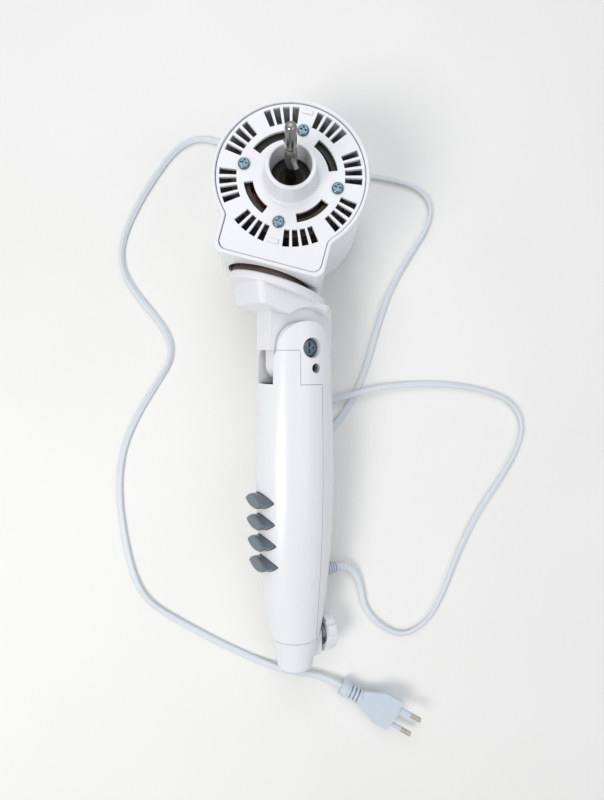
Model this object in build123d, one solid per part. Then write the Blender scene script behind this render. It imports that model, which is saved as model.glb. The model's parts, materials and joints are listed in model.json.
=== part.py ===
from build123d import *
import os
from math import asin, atan2, cos, degrees, radians, sin, sqrt, tan

# Upper unit of a pedestal fan, laid on a table: an oscillating motor head on a
# tilting neck, a control column with four push keys, a pole socket with its
# clamp knob, and a mains lead. Millimetres.
#
# Three local frames are used, all with x to the front, y to one side and z up
# when the fan stands: the column frame has its origin on the tilt axis, the
# neck frame shares that origin and leans back, and the head frame has its
# origin where the shaft axis crosses the swing axis.

# Pose of the unit on the table, in degrees
COLUMN_RISE = 5.0
COLUMN_ROLL = 60.0
TILT_BACK = 17.0
SWING_TURN = 60.0

# Clearances
RUNNING_GAP = 0.05
FREE_GAP = 0.4
SEAM_GAP = 0.3

# Motor housing
RIM_R = 53.0
RIM_FRONT = 38.0
HOUSING_BACK = 58.3
COVER_WALL = 2.6
CAP_R = 110.0
BACK_FILLET = 12.0
FOOT_HALF = 37.8
FOOT_DROP = 62.0
FOOT_BACK = 37.0
FOOT_FILLET = 6.0
FOOT_OPENING_R = 30.0
RIM_ROUND = 0.8
REAR_VENT_COUNT = 20
REAR_VENT_IN = 16.0
REAR_VENT_OUT = 34.0
REAR_VENT_WIDTH = 3.0

# Front plate
PLATE_THICK = 2.5
PLATE_INSET = 1.5
COLLAR_BASE_R = 18.5
COLLAR_TOP_R = 16.6
COLLAR_RISE = 18.0
COLLAR_BORE_R = 13.7
COLLAR_ROUND = 1.0
COLLAR_FOOT_ROUND = 2.0
PLATE_ROUND = 0.5
CLIP_SIZE = (7.0, 3.0, 1.0)
CLIP_INSET = 2.4
VENT_GROUPS = 8
VENT_PER_GROUP = 4
VENT_PITCH = 8.0
VENT_SPAN = 5.6
VENT_MARGIN = 2.2
VENT_LENGTH = 11.6
ARC_COUNT = 4
ARC_SPAN = 46.0
ARC_GAP = 4.6
ARC_LENGTH = 6.2
PLATE_SCREW_COUNT = 4
PLATE_SCREW_RING_R = 32.3
PLATE_SCREW_R = 1.9
PLATE_SCREW_HEAD_R = 4.0
PLATE_SCREW_HEAD_RISE = 2.0
CROSS_WIDTH = 1.3
CROSS_SHARE = 0.62
CROSS_DEPTH = 1.2

# Motor
SHAFT_R = 4.0
SHAFT_OUT = 66.0
SHAFT_TIP_ROUND = 3.0
SHAFT_NOSE_R = 3.6
SHAFT_NOSE = 24.0
SHAFT_BACK = 33.0
DRIVE_PIN_R = 1.5
DRIVE_PIN_LENGTH = 20.0
DRIVE_PIN_OUT = 32.0
DRIVE_PIN_ANGLE = -55.0
STATOR_R = 40.0
STATOR_BORE_R = 22.3
STATOR_LENGTH = 22.0
STATOR_SLOTS = 16
STATOR_SLOT_WIDTH = 4.0
STATOR_SLOT_DEPTH = 11.0
WINDING_IN = 25.0
WINDING_OUT = 37.0
WINDING_RISE = 5.0
BELL_THICK = 2.5
BELL_GAP = 1.0
BELL_WINDOWS = 4
BELL_WINDOW_IN = 15.0
BELL_WINDOW_OUT = 28.0
BELL_WINDOW_SPAN = 50.0
BEARING_R = 8.0
BEARING_LENGTH = 7.0
HUB_WALL = 2.5
STUD_R = 2.0
STUD_RING_R = 36.5
STUD_ANGLE = 45.0

# Oscillation gear
WORM_R = 5.2
WORM_FRONT = 14.0
WORM_LENGTH = 17.0
WHEEL_R = 11.0
WHEEL_TEETH = 24
WHEEL_TOOTH = 1.2
WHEEL_THICK = 8.0
WHEEL_BACK = 23.0
WHEEL_PIN_R = 2.5
CASE_WALL = 1.5
CASE_HALF = 9.0
CRANK_R = 10.0
CRANK_THICK = 4.0
CRANK_FLOOR = 51.0
KNOB_ROD_R = 2.4
KNOB_R = 7.0
KNOB_LENGTH = 15.0
KNOB_STAND = 12.0
CAPACITOR_SIZE = (12.0, 26.0, 14.0)

# Swing pivot between neck and head
AXIS_FORWARD = 35.0
HEAD_RISE = 103.0
PIVOT_R = 6.0
PIVOT_TOP = 46.0
PIVOT_PLATE_R = 26.8
PIVOT_PLATE_THICK = 4.0
SLEEVE_R = 10.0
SLEEVE_FLOOR = 57.0
BRACKET_THICK = 3.0
BRACKET_HALF = 12.0
BRACKET_REACH = 28.0
LINK_THICK = 2.0
LINK_HALF = 4.5
LINK_FLOOR = 55.0
LINK_PIN_R = 2.0
LINK_PIN_AT = (12.0, -20.0)
LINK_END_AT = (-20.0, -19.0)

# Neck
FLANGE_GAP = 3.0
FLANGE_THICK = 6.0
FLANGE_LONG = 37.0
FLANGE_WIDE = 30.0
FLANGE_SHIFT = 9.0
FLANGE_ROUND = 1.5
BLOCK_FRONT = 53.0
BLOCK_TAPER = 6.5
BLOCK_BACK = -9.0
BLOCK_HALF = 22.0
BLOCK_FLOOR = 18.0
BLOCK_ROUND = 5.0
BLOCK_EDGE = 1.5
TONGUE_HALF = 11.0
TONGUE_NOSE_HALF = 7.0
TONGUE_APRON = 26.0
TONGUE_APRON_FLOOR = -1.5
TONGUE_STEP = 5.0
TONGUE_NOSE_FLOOR = -24.0
TONGUE_NOSE_ROUND = 12.0
TONGUE_HEIGHT = 29.0
TONGUE_BACK = 25.0
PIVOT_SEAT = 20.0

# Tilt joint
TILT_BOLT_R = 4.0
TILT_HEAD_R = 6.6
TILT_HEAD_THICK = 3.0
TILT_HEAD_AT = 18.0
TILT_WELL_R = 7.3
WASHER_R = 12.0
WASHER_THICK = 1.0
WASHER_GAP = 0.1
EAR_R = 19.0
EAR_SHIFT = 3.2
EAR_CLEAR = 10.0
EAR_FLOOR = -26.0
EAR_FRONT_AT_FLOOR = 29.0
EAR_SCREW_AT = (-3.0, -14.5)
EAR_SCREW_HOLE_R = 3.5
EAR_SCREW_DEPTH = 5.0
EAR_SCREW_R = 1.2

# Column shells: height, half depth and half width of each section
COLUMN_SECTIONS = (
    (28.0, 26.0, 24.5),
    (-26.0, 28.2, 26.0),
    (-66.0, 29.6, 26.8),
    (-106.0, 30.2, 27.0),
    (-150.0, 28.4, 25.2),
    (-190.0, 24.4, 21.8),
    (-221.0, 19.4, 18.8),
)
SHELL_WALL = 2.5
SHELL_FLOOR = 3.0
SEAM_X = -9.0
EAR_SEAM_X = 9.0
EAR_SEAM_TOP = -1.5
SHELL_SCREW_HEIGHTS = (-52.0, -92.0, -190.0)
SHELL_SCREW_R = 1.6
SHELL_SCREW_HEAD_R = 3.0
SHELL_SCREW_HEAD_RISE = 1.8
SHELL_BOSS_R = 4.0
SHELL_BOSS_FRONT = 12.0

# Keys and switch
KEY_COUNT = 4
KEY_TOP_AT = -112.0
KEY_PITCH = 16.0
KEY_HALF_WIDTH = 14.5
KEY_HALF_HEIGHT = 5.6
KEY_POINT_ROUND = 1.2
KEY_STAND = 6.0
KEY_ROUND = 2.2
KEY_SKIRT = 9.0
KEY_STEM = (8.0, 5.0)
KEY_STEM_BACK = 6.0
KEY_TRAVEL = 4.0
KEY_GAP = 0.5
SWITCH_FRONT = 12.0
SWITCH_BACK = -5.0
SWITCH_HALF = 15.0
SWITCH_MARGIN = 10.0
SWITCH_WALL = 2.0

# Pole socket and its clamp
SOCKET_R = 15.0
SOCKET_STEP = 0.8
SOCKET_MOUTH_R = 13.6
SOCKET_ROUND = 0.6
SOCKET_BORE_R = 11.2
SOCKET_TOP = -201.0
SOCKET_FLOOR = -246.0
CLAMP_HEIGHT = -225.0
CLAMP_BOSS_R = 7.0
CLAMP_BOSS_FLOOR = -240.0
CLAMP_BOSS_REACH = 20.0
CLAMP_STUD_R = 3.0
CLAMP_KNOB_R = 15.0
CLAMP_KNOB_IN = 22.6
CLAMP_KNOB_OUT = 31.0
CLAMP_KNOB_WALL = 2.2
CLAMP_GRIPS = 8
CLAMP_GRIP_R = 2.6

# Mains lead
CORD_D = 5.0
GLAND_HEIGHT = -175.0
GLAND_BACK_IN = 18.0
GLAND_OUT = 12.0
GLAND_BASE_R = 5.4
GLAND_TIP_R = 3.9
GLAND_RIBS = 4
GLAND_GROOVE = 0.9
GLAND_FLANGE_R = 7.0
GLAND_FLANGE_THICK = 2.0
PLUG_HEADING = -26.5
PLUG_ROLL = 26.0
PLUG_LENGTH = 29.5
PLUG_WIDTH = 33.0
PLUG_THICK = 13.0
PLUG_BEVEL = 5.0
PLUG_NECK_WIDTH = 14.0
PLUG_NECK_THICK = 11.0
PLUG_TAPER = 16.5
RELIEF_LENGTH = 18.0
RELIEF_BASE_R = 5.8
RELIEF_TIP_R = 5.6
RELIEF_RIBS = 3
RELIEF_GROOVE = 2.2
RELIEF_COLLAR_R = 6.6
RELIEF_COLLAR = 5.5
PIN_R = 2.0
PIN_SPACING = 18.6
PIN_LENGTH = 19.0
PIN_CORE_R = 1.5
PIN_TIP_ROUND = 1.2
PIN_SLEEVE = 10.0
PIN_SEAT = 6.0

# Route of the lead over the table, from the gland's mouth to the plug's
CORD_ROUTE = (
    (47.0, -142.6, 6.0),
    (50.0, -155.1, 3.0),
    (56.5, -171.1, 2.6),
    (68.5, -185.1, 2.6),
    (90.0, -197.1, 2.6),
    (111.6, -184.1, 2.6),
    (123.9, -161.4, 2.6),
    (135.7, -129.9, 2.6),
    (151.0, -96.6, 2.6),
    (171.6, -66.9, 2.6),
    (185.5, -42.4, 2.6),
    (189.6, -21.9, 2.6),
    (181.4, -4.7, 2.6),
    (162.5, 5.2, 2.6),
    (130.5, 10.9, 2.6),
    (98.2, 10.9, 4.0),
    (66.9, 7.4, 12.6),
    (39.6, -0.6, 12.6),
    (8.2, -8.0, 3.0),
    (-16.5, -22.7, 2.6),
    (-23.5, -46.3, 2.6),
    (-8.5, -65.6, 2.6),
    (14.0, -58.1, 2.6),
    (28.4, -30.6, 2.6),
    (46.8, -8.0, 2.6),
    (59.9, 20.8, 2.6),
    (69.0, 54.4, 2.6),
    (80.4, 88.9, 2.6),
    (97.7, 117.6, 2.6),
    (111.6, 138.9, 2.6),
    (114.9, 157.6, 2.6),
    (103.6, 172.0, 2.6),
    (79.8, 179.3, 2.6),
    (48.4, 184.1, 2.6),
    (12.3, 194.7, 2.6),
    (-25.4, 202.1, 2.6),
    (-55.2, 208.3, 2.6),
    (-77.1, 213.9, 2.6),
    (-96.0, 203.8, 2.6),
    (-112.4, 181.6, 2.6),
    (-128.0, 156.2, 2.6),
    (-139.5, 129.1, 2.6),
    (-140.3, 106.1, 2.6),
    (-128.0, 84.8, 2.6),
    (-111.6, 65.9, 2.6),
    (-99.3, 47.0, 2.6),
    (-99.3, 29.8, 2.6),
    (-113.2, 8.5, 2.6),
    (-128.8, -17.0, 2.6),
    (-140.3, -45.7, 2.6),
    (-142.8, -79.4, 2.6),
    (-137.8, -117.1, 2.6),
    (-129.6, -149.9, 2.6),
    (-117.3, -169.6, 2.6),
    (-89.4, -186.0, 2.6),
    (-58.2, -202.5, 2.6),
    (-26.4, -216.9, 2.8),
    (0.5, -224.6, 6.0),
)
CORD_RUN_SHARE = 0.45
CORD_EXIT_RUN = 8.0
CORD_PLUG_RUN = 18.0
PLUG_AT = (40.1, -235.0)

# Sizes that follow from the ones above
PLATE_BACK = RIM_FRONT - PLATE_INSET - PLATE_THICK
PLATE_FACE = RIM_FRONT - PLATE_INSET
VENT_OUT = RIM_R - COVER_WALL - SEAM_GAP - VENT_MARGIN
VENT_IN = VENT_OUT - VENT_LENGTH
ARC_OUT = VENT_IN - ARC_GAP
ARC_IN = ARC_OUT - ARC_LENGTH
CLIP_RING_R = VENT_OUT - CLIP_INSET
STATOR_BACK = PLATE_BACK - BELL_GAP - 2 * BELL_THICK - WINDING_RISE - STATOR_LENGTH
STATOR_FRONT = STATOR_BACK + STATOR_LENGTH
FRONT_BELL = STATOR_FRONT + WINDING_RISE + BELL_GAP
REAR_BELL = STATOR_BACK - WINDING_RISE - BELL_GAP - BELL_THICK
WHEEL_SIDE = WORM_R + WHEEL_R + FREE_GAP
FLANGE_TOP = HEAD_RISE - FOOT_DROP - FLANGE_GAP
FLANGE_FLOOR = FLANGE_TOP - FLANGE_THICK
EAR_IN = TONGUE_HALF + WASHER_THICK + 2 * WASHER_GAP
KEY_HEIGHTS = [KEY_TOP_AT - KEY_PITCH * i for i in range(KEY_COUNT)]
SWITCH_TOP = KEY_HEIGHTS[0] + SWITCH_MARGIN
SWITCH_FLOOR = KEY_HEIGHTS[-1] - SWITCH_MARGIN


def frames():
    """Placements of the column, the neck and the head in the column frame."""
    column = Location((0, 0, 0))
    neck = column * Location((0, 0, 0), (0, -TILT_BACK, 0))
    head = neck * Location((AXIS_FORWARD, 0, HEAD_RISE), (0, 0, SWING_TURN))
    return column, neck, head


def table_turn():
    """Turn of the column frame when the unit lies on the table."""
    rise = radians(COLUMN_RISE)
    roll = radians(COLUMN_ROLL)
    front = (-sin(roll), -cos(roll) * sin(rise), cos(roll) * cos(rise))
    up = (0, cos(rise), sin(rise))
    return Plane(origin=(0, 0, 0), x_dir=front, z_dir=up).location


def rod(radius, start, end):
    """Cylinder along x."""
    return Pos((start + end) / 2, 0, 0) * Rot(0, 90, 0) * Cylinder(radius, end - start)


def post(radius, floor, top, x=0.0, y=0.0):
    """Cylinder along z."""
    return Pos(x, y, (floor + top) / 2) * Cylinder(radius, top - floor)


def cross_rod(radius, start, end, x=0.0, z=0.0):
    """Cylinder along y."""
    return Pos(x, (start + end) / 2, z) * Rot(90, 0, 0) * Cylinder(radius, end - start)


def block(x_span, y_span, z_span):
    """Box between two x, two y and two z values."""
    spans = (x_span, y_span, z_span)
    middle = [(low + high) / 2 for low, high in spans]
    size = [high - low for low, high in spans]
    return Pos(*middle) * Box(*size)


def sector(inner, outer, middle, span):
    """Face between two radii and two angles, in degrees from the sketch's y axis."""
    angles = [radians(90 - middle + side * span / 2) for side in (-1, 0, 1)]
    low, mid, high = [(cos(a), sin(a)) for a in angles]

    def at(direction, radius):
        return (direction[0] * radius, direction[1] * radius)

    outline = [
        Line(at(low, inner), at(low, outer)),
        ThreePointArc(at(low, outer), at(mid, outer), at(high, outer)),
        Line(at(high, outer), at(high, inner)),
        ThreePointArc(at(high, inner), at(mid, inner), at(low, inner)),
    ]
    return make_face(outline)


def plate_prism(face, start, end):
    """Solid from a face drawn on the head's front, between two x values."""
    return extrude(Plane.YZ.offset(start) * face, end - start)


def screw(shank_r, head_r, head_rise, length):
    """Pan head screw along z, its head standing on z = 0, with a cross recess."""
    head = post(head_r, 0, head_rise)
    head = fillet(head.edges().group_by(Axis.Z)[-1], head_rise * CROSS_SHARE)
    reach = head_r * CROSS_SHARE
    recess_span = (head_rise - CROSS_DEPTH, head_rise)
    half = CROSS_WIDTH / 2
    recess = block((-reach, reach), (-half, half), recess_span)
    recess += block((-half, half), (-reach, reach), recess_span)
    return head + post(shank_r, -length, 0) - recess


# Head


def head_outline(inset):
    """Front outline of the housing: a disc with a square foot."""
    half = FOOT_HALF - inset
    drop = FOOT_DROP - inset
    outline = Circle(RIM_R - inset) + Pos(0, -drop / 2) * Rectangle(2 * half, drop)
    corners = outline.vertices().filter_by(lambda v: v.Y < -FOOT_HALF / 2)
    return fillet(corners, FOOT_FILLET)


def housing_solid(inset, front):
    """Solid of the housing, inset on every side but the front."""
    prism = plate_prism(head_outline(inset), inset - FOOT_BACK, front)
    barrel = rod(RIM_R - inset, -HOUSING_BACK - COVER_WALL, 0)
    ball = Pos(CAP_R - HOUSING_BACK, 0, 0) * Sphere(CAP_R - inset)
    dome = barrel & ball
    edge = dome.edges().filter_by(GeomType.CIRCLE).sort_by(Axis.X)[0]
    return prism + fillet(edge, BACK_FILLET - inset)


def rear_cover():
    shell = housing_solid(0, RIM_FRONT) - housing_solid(COVER_WALL, RIM_FRONT + COVER_WALL)
    shell = fillet(shell.edges().group_by(Axis.X)[-1], RIM_ROUND)
    shell -= post(FOOT_OPENING_R, -FOOT_DROP - COVER_WALL, -FOOT_DROP + 2 * COVER_WALL)
    for i in range(REAR_VENT_COUNT):
        half = REAR_VENT_WIDTH / 2
        depth = (-HOUSING_BACK - COVER_WALL, -FOOT_BACK)
        slot = block(depth, (-half, half), (REAR_VENT_IN, REAR_VENT_OUT))
        shell -= Rot(360 / REAR_VENT_COUNT * i, 0, 0) * slot
    knob_hole = post(KNOB_ROD_R + RUNNING_GAP, 0, RIM_R, -WHEEL_BACK, WHEEL_SIDE)
    return shell - knob_hole


def front_plate():
    plate = plate_prism(head_outline(COVER_WALL + SEAM_GAP), PLATE_BACK, PLATE_FACE)
    plate = fillet(plate.edges().group_by(Axis.X)[-1], PLATE_ROUND)
    clip_wide, clip_tall, clip_rise = CLIP_SIZE
    clip = Pos(PLATE_FACE + clip_rise / 2, 0, CLIP_RING_R) * Box(clip_rise, clip_wide, clip_tall)
    clip = fillet(clip.edges().group_by(Axis.X)[-1], PLATE_ROUND)
    plate += clip
    plate += Rot(180, 0, 0) * clip
    collar_place = Pos(PLATE_FACE + COLLAR_RISE / 2, 0, 0) * Rot(0, 90, 0)
    plate += collar_place * Cone(COLLAR_BASE_R, COLLAR_TOP_R, COLLAR_RISE)
    rings = plate.edges().filter_by(GeomType.CIRCLE)
    foot_ring = rings.filter_by(lambda ring: abs(ring.radius - COLLAR_BASE_R) < RUNNING_GAP)
    plate = fillet(foot_ring, COLLAR_FOOT_ROUND)
    plate -= rod(COLLAR_BORE_R, PLATE_BACK, PLATE_FACE + COLLAR_RISE)
    plate = fillet(plate.edges().group_by(Axis.X)[-1], COLLAR_ROUND)
    first = -(VENT_PER_GROUP - 1) / 2 * VENT_PITCH
    cuts = Sketch()
    for group in range(VENT_GROUPS):
        middle = 360 / VENT_GROUPS * (group + 0.5)
        for i in range(VENT_PER_GROUP):
            cuts += sector(VENT_IN, VENT_OUT, middle + first + VENT_PITCH * i, VENT_SPAN)
    for i in range(ARC_COUNT):
        cuts += sector(ARC_IN, ARC_OUT, 360 / ARC_COUNT * (i + 0.5), ARC_SPAN)
    with_holes = PolarLocations(PLATE_SCREW_RING_R, PLATE_SCREW_COUNT)
    cuts += with_holes * Circle(PLATE_SCREW_R + RUNNING_GAP)
    return plate - plate_prism(cuts, PLATE_BACK, PLATE_FACE)


def plate_screws():
    one = screw(PLATE_SCREW_R, PLATE_SCREW_HEAD_R, PLATE_SCREW_HEAD_RISE, PLATE_FACE - FRONT_BELL)
    ring = Plane.YZ.offset(PLATE_FACE).location
    places = PolarLocations(PLATE_SCREW_RING_R, PLATE_SCREW_COUNT)
    return [ring * place * one for place in places.locations]


def bell(start):
    """End bell of the motor: a windowed disc with a hub for the bearing."""
    disc = rod(STATOR_R, start, start + BELL_THICK)
    middle = start + BELL_THICK / 2
    half = BEARING_LENGTH / 2
    disc += rod(BEARING_R + HUB_WALL, middle - half, middle + half)
    disc -= rod(BEARING_R, middle - BEARING_LENGTH, middle + BEARING_LENGTH)
    for i in range(BELL_WINDOWS):
        angle = 360 / BELL_WINDOWS * (i + 0.5)
        window = sector(BELL_WINDOW_IN, BELL_WINDOW_OUT, angle, BELL_WINDOW_SPAN)
        disc -= plate_prism(window, start - BELL_THICK, start + 2 * BELL_THICK)
    return disc - stator_studs_hole()


def stator_studs_hole():
    """Holes for the four long studs through bells and stator."""
    places = PolarLocations(STUD_RING_R, PLATE_SCREW_COUNT, STUD_ANGLE)
    holes = Sketch() + places * Circle(STUD_R + RUNNING_GAP)
    return plate_prism(holes, -HOUSING_BACK, RIM_FRONT)


def front_bell():
    bosses = Sketch() + PolarLocations(PLATE_SCREW_RING_R, PLATE_SCREW_COUNT) * Circle(
        PLATE_SCREW_R + HUB_WALL
    )
    solid = bell(FRONT_BELL) + plate_prism(bosses, FRONT_BELL, PLATE_BACK)
    holes = Sketch() + PolarLocations(PLATE_SCREW_RING_R, PLATE_SCREW_COUNT) * Circle(PLATE_SCREW_R)
    return solid - plate_prism(holes, FRONT_BELL - WINDING_RISE, PLATE_BACK)


def stator_core():
    core = rod(STATOR_R, STATOR_BACK, STATOR_FRONT)
    core -= rod(STATOR_BORE_R, STATOR_BACK, STATOR_FRONT)
    for i in range(STATOR_SLOTS):
        half = STATOR_SLOT_WIDTH / 2
        depth = (WINDING_IN, WINDING_IN + STATOR_SLOT_DEPTH)
        slot = block((STATOR_BACK, STATOR_FRONT), (-half, half), depth)
        core -= Rot(360 / STATOR_SLOTS * i, 0, 0) * slot
    return core - stator_studs_hole()


def winding(start):
    ring = rod(WINDING_OUT - STUD_R, start, start + WINDING_RISE)
    ring -= rod(WINDING_IN, start, start + WINDING_RISE)
    ring = fillet(ring.edges().filter_by(GeomType.CIRCLE), WINDING_RISE / 4)
    return ring - stator_studs_hole()


def motor_studs():
    places = PolarLocations(STUD_RING_R, PLATE_SCREW_COUNT, STUD_ANGLE)
    base = Plane.YZ.offset(REAR_BELL).location
    reach = FRONT_BELL + BELL_THICK - REAR_BELL
    return [base * place * post(STUD_R, 0, reach) for place in places.locations]


def bearing(start):
    middle = start + BELL_THICK / 2
    half = BEARING_LENGTH / 2
    bush = rod(BEARING_R, middle - half, middle + half)
    return bush - rod(SHAFT_R + RUNNING_GAP, middle - BEARING_LENGTH, middle + BEARING_LENGTH)


def shaft():
    """Motor shaft with a turned nose in front, for the blade hub."""
    end = PLATE_FACE + SHAFT_OUT
    nose = rod(SHAFT_NOSE_R, end - SHAFT_NOSE, end)
    tip = nose.edges().filter_by(GeomType.CIRCLE).sort_by(Axis.X)[-1]
    solid = rod(SHAFT_R, -SHAFT_BACK, end - SHAFT_NOSE) + fillet(tip, SHAFT_TIP_ROUND)
    return solid - drive_pin_place() * cross_rod(DRIVE_PIN_R, -SHAFT_R, SHAFT_R)


def drive_pin_place():
    return Pos(PLATE_FACE + DRIVE_PIN_OUT, 0, 0) * Rot(DRIVE_PIN_ANGLE, 0, 0)


def drive_pin():
    half = DRIVE_PIN_LENGTH / 2
    return drive_pin_place() * cross_rod(DRIVE_PIN_R, -half, half)


def rotor_core():
    core = rod(STATOR_BORE_R - FREE_GAP, STATOR_BACK, STATOR_FRONT)
    return core - rod(SHAFT_R, STATOR_BACK, STATOR_FRONT)


def worm():
    start = -WORM_FRONT - WORM_LENGTH
    return rod(WORM_R, start, -WORM_FRONT) - rod(SHAFT_R, start, -WORM_FRONT)


def worm_wheel():
    """Toothed wheel on its upright pin, with the crank disc at its foot."""
    half = WHEEL_THICK / 2
    wheel = post(WHEEL_R, -half, half)
    notch = Pos(WHEEL_R, 0, 0) * Cylinder(WHEEL_TOOTH, WHEEL_THICK)
    for i in range(WHEEL_TEETH):
        wheel -= Rot(0, 0, 360 / WHEEL_TEETH * i) * notch
    wheel += post(WHEEL_PIN_R, -CRANK_FLOOR, CASE_HALF)
    wheel += post(CRANK_R, -CRANK_FLOOR, CRANK_THICK - CRANK_FLOOR)
    return Pos(-WHEEL_BACK, WHEEL_SIDE, 0) * wheel


def gearbox_case():
    reach = WHEEL_R + FREE_GAP
    x_span = (-WHEEL_BACK - reach, -WHEEL_BACK + reach)
    y_span = (-WORM_R - FREE_GAP, WHEEL_SIDE + reach)
    z_span = (CASE_WALL - CASE_HALF, CASE_HALF - CASE_WALL)
    room = block(x_span, y_span, z_span)
    grown = [(low - CASE_WALL, high + CASE_WALL) for low, high in (x_span, y_span, z_span)]
    case = block(*grown) - room
    case -= rod(SHAFT_R + FREE_GAP, -HOUSING_BACK, 0)
    return case - post(WHEEL_PIN_R + RUNNING_GAP, -RIM_R, RIM_R, -WHEEL_BACK, WHEEL_SIDE)


def clutch_knob():
    """Pull knob that lets the swing gear run free."""
    top = sqrt(RIM_R**2 - WHEEL_SIDE**2)
    knob = post(KNOB_R, 0, KNOB_LENGTH)
    knob = fillet(knob.edges().group_by(Axis.Z)[-1], KNOB_R / 3)
    knob = Pos(0, 0, top + KNOB_STAND / 2) * knob
    knob += post(KNOB_ROD_R, CASE_HALF + KNOB_STAND / 4, top + KNOB_STAND)
    return Pos(-WHEEL_BACK, WHEEL_SIDE, 0) * knob


def swing_bracket():
    """Sleeve under the motor, on an arm that is screwed to the rear bell."""
    top = -SLEEVE_FLOOR + SLEEVE_R + BRACKET_THICK
    bracket = post(SLEEVE_R, -SLEEVE_FLOOR, top)
    wide = (-BRACKET_HALF, BRACKET_HALF)
    back = REAR_BELL - BRACKET_THICK
    bracket += block((back, SLEEVE_R), wide, (top - BRACKET_THICK, top))
    bracket += block((back, REAR_BELL), wide, (top - BRACKET_THICK, -BRACKET_REACH))
    return bracket - post(PIVOT_R + RUNNING_GAP, -SLEEVE_FLOOR, top)


def capacitor():
    depth, width, height = CAPACITOR_SIZE
    side = STATOR_R - height
    x_span = (REAR_BELL - BRACKET_THICK - depth, REAR_BELL - BRACKET_THICK)
    can = block(x_span, (-width / 2, width / 2), (side - height / 2, side + height / 2))
    return fillet(can.edges().filter_by(Axis.X), height / 7)


# Neck


def tongue():
    """Web of the neck between the ears, its front face in line with the column's."""
    web = Pos((TONGUE_APRON - TONGUE_BACK) / 2, (TONGUE_HEIGHT + TONGUE_APRON_FLOOR) / 2) * Rectangle(
        TONGUE_APRON + TONGUE_BACK, TONGUE_HEIGHT - TONGUE_APRON_FLOOR
    )
    behind = Pos(-TONGUE_BACK, 0) * Rectangle(2 * TONGUE_BACK, 2 * TONGUE_BACK)
    web += Circle(TONGUE_BACK) & behind
    web += Circle(WASHER_R + WASHER_THICK)
    nose_front = TONGUE_APRON - TONGUE_STEP
    nose = make_face(
        Polyline(
            (0, TONGUE_APRON_FLOOR),
            (nose_front, TONGUE_APRON_FLOOR),
            (nose_front, TONGUE_NOSE_FLOOR),
            (0, TONGUE_NOSE_FLOOR),
            close=True,
        )
    )
    tip = nose.vertices().group_by(Axis.Y)[0].sort_by(Axis.X)[-1]
    nose = fillet(tip, TONGUE_NOSE_ROUND)
    solid = extrude(Plane.XZ.offset(-TONGUE_HALF) * web, 2 * TONGUE_HALF)
    solid += extrude(Plane.XZ.offset(-TONGUE_NOSE_HALF) * nose, 2 * TONGUE_NOSE_HALF)
    return Rot(0, TILT_BACK, 0) * solid


def neck_block():
    """Block under the flange, its front leaning back towards the floor."""
    top = FLANGE_FLOOR + FLANGE_ROUND
    rings = []
    for height, front in ((BLOCK_FLOOR, BLOCK_FRONT - BLOCK_TAPER), (top, BLOCK_FRONT)):
        outline = RectangleRounded(front - BLOCK_BACK, 2 * BLOCK_HALF, BLOCK_ROUND)
        rings.append(Pos((front + BLOCK_BACK) / 2, 0, height) * outline)
    base = loft(rings)
    base = fillet(base.edges().group_by(Axis.Z)[0], BLOCK_EDGE)
    return base - cross_rod(EAR_R + EAR_CLEAR, -BLOCK_HALF, BLOCK_HALF)


def neck_housing():
    """Flange under the head, the block below it and the tongue in the column."""
    outline = Plane.XY.offset(FLANGE_FLOOR) * Ellipse(FLANGE_LONG, FLANGE_WIDE)
    flange = extrude(outline, FLANGE_THICK)
    flange = fillet(flange.edges(), FLANGE_ROUND)
    body = Pos(AXIS_FORWARD - FLANGE_SHIFT, 0, 0) * flange + neck_block() + tongue()
    body -= cross_rod(TILT_BOLT_R + RUNNING_GAP, -TONGUE_HALF, TONGUE_HALF)
    body -= post(PIVOT_R, PIVOT_SEAT, FLANGE_TOP, AXIS_FORWARD)
    pin_x, pin_y = LINK_PIN_AT
    return body - post(LINK_PIN_R, FLANGE_FLOOR, FLANGE_TOP, AXIS_FORWARD + pin_x, pin_y)


def pivot_plate():
    """Steel disc between the neck's flange and the head's foot."""
    top = FLANGE_TOP + PIVOT_PLATE_THICK
    plate = post(PIVOT_PLATE_R, FLANGE_TOP, top, AXIS_FORWARD)
    plate -= post(PIVOT_R, FLANGE_TOP, top, AXIS_FORWARD)
    pin_x, pin_y = LINK_PIN_AT
    return plate - post(LINK_PIN_R, FLANGE_TOP, top, AXIS_FORWARD + pin_x, pin_y)


def swing_pivot():
    return post(PIVOT_R, PIVOT_SEAT, HEAD_RISE - PIVOT_TOP, AXIS_FORWARD)


def link_pin():
    pin_x, pin_y = LINK_PIN_AT
    top = HEAD_RISE - LINK_FLOOR + LINK_THICK
    return post(LINK_PIN_R, FLANGE_FLOOR, top, AXIS_FORWARD + pin_x, pin_y)


def swing_link():
    """Flat bar from the neck's pin to under the crank."""
    start = Vector(*LINK_PIN_AT)
    end = Vector(*LINK_END_AT)
    middle = (start + end) / 2
    heading = degrees(asin((start.Y - end.Y) / (start - end).length))
    bar = SlotCenterToCenter((start - end).length, 2 * LINK_HALF)
    bar = Pos(middle.X, middle.Y) * Rot(0, 0, -heading) * bar
    bar -= Pos(start.X, start.Y) * Circle(LINK_PIN_R + RUNNING_GAP)
    floor = HEAD_RISE - LINK_FLOOR
    return extrude(Pos(AXIS_FORWARD, 0, floor) * bar, LINK_THICK)


# Column


def column_solid(inset):
    """Outer form of the column, or its hollow."""
    rings = [
        Plane.XY.offset(height) * Ellipse(depth - inset, width - inset)
        for height, depth, width in COLUMN_SECTIONS
    ]
    return loft(rings)


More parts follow.
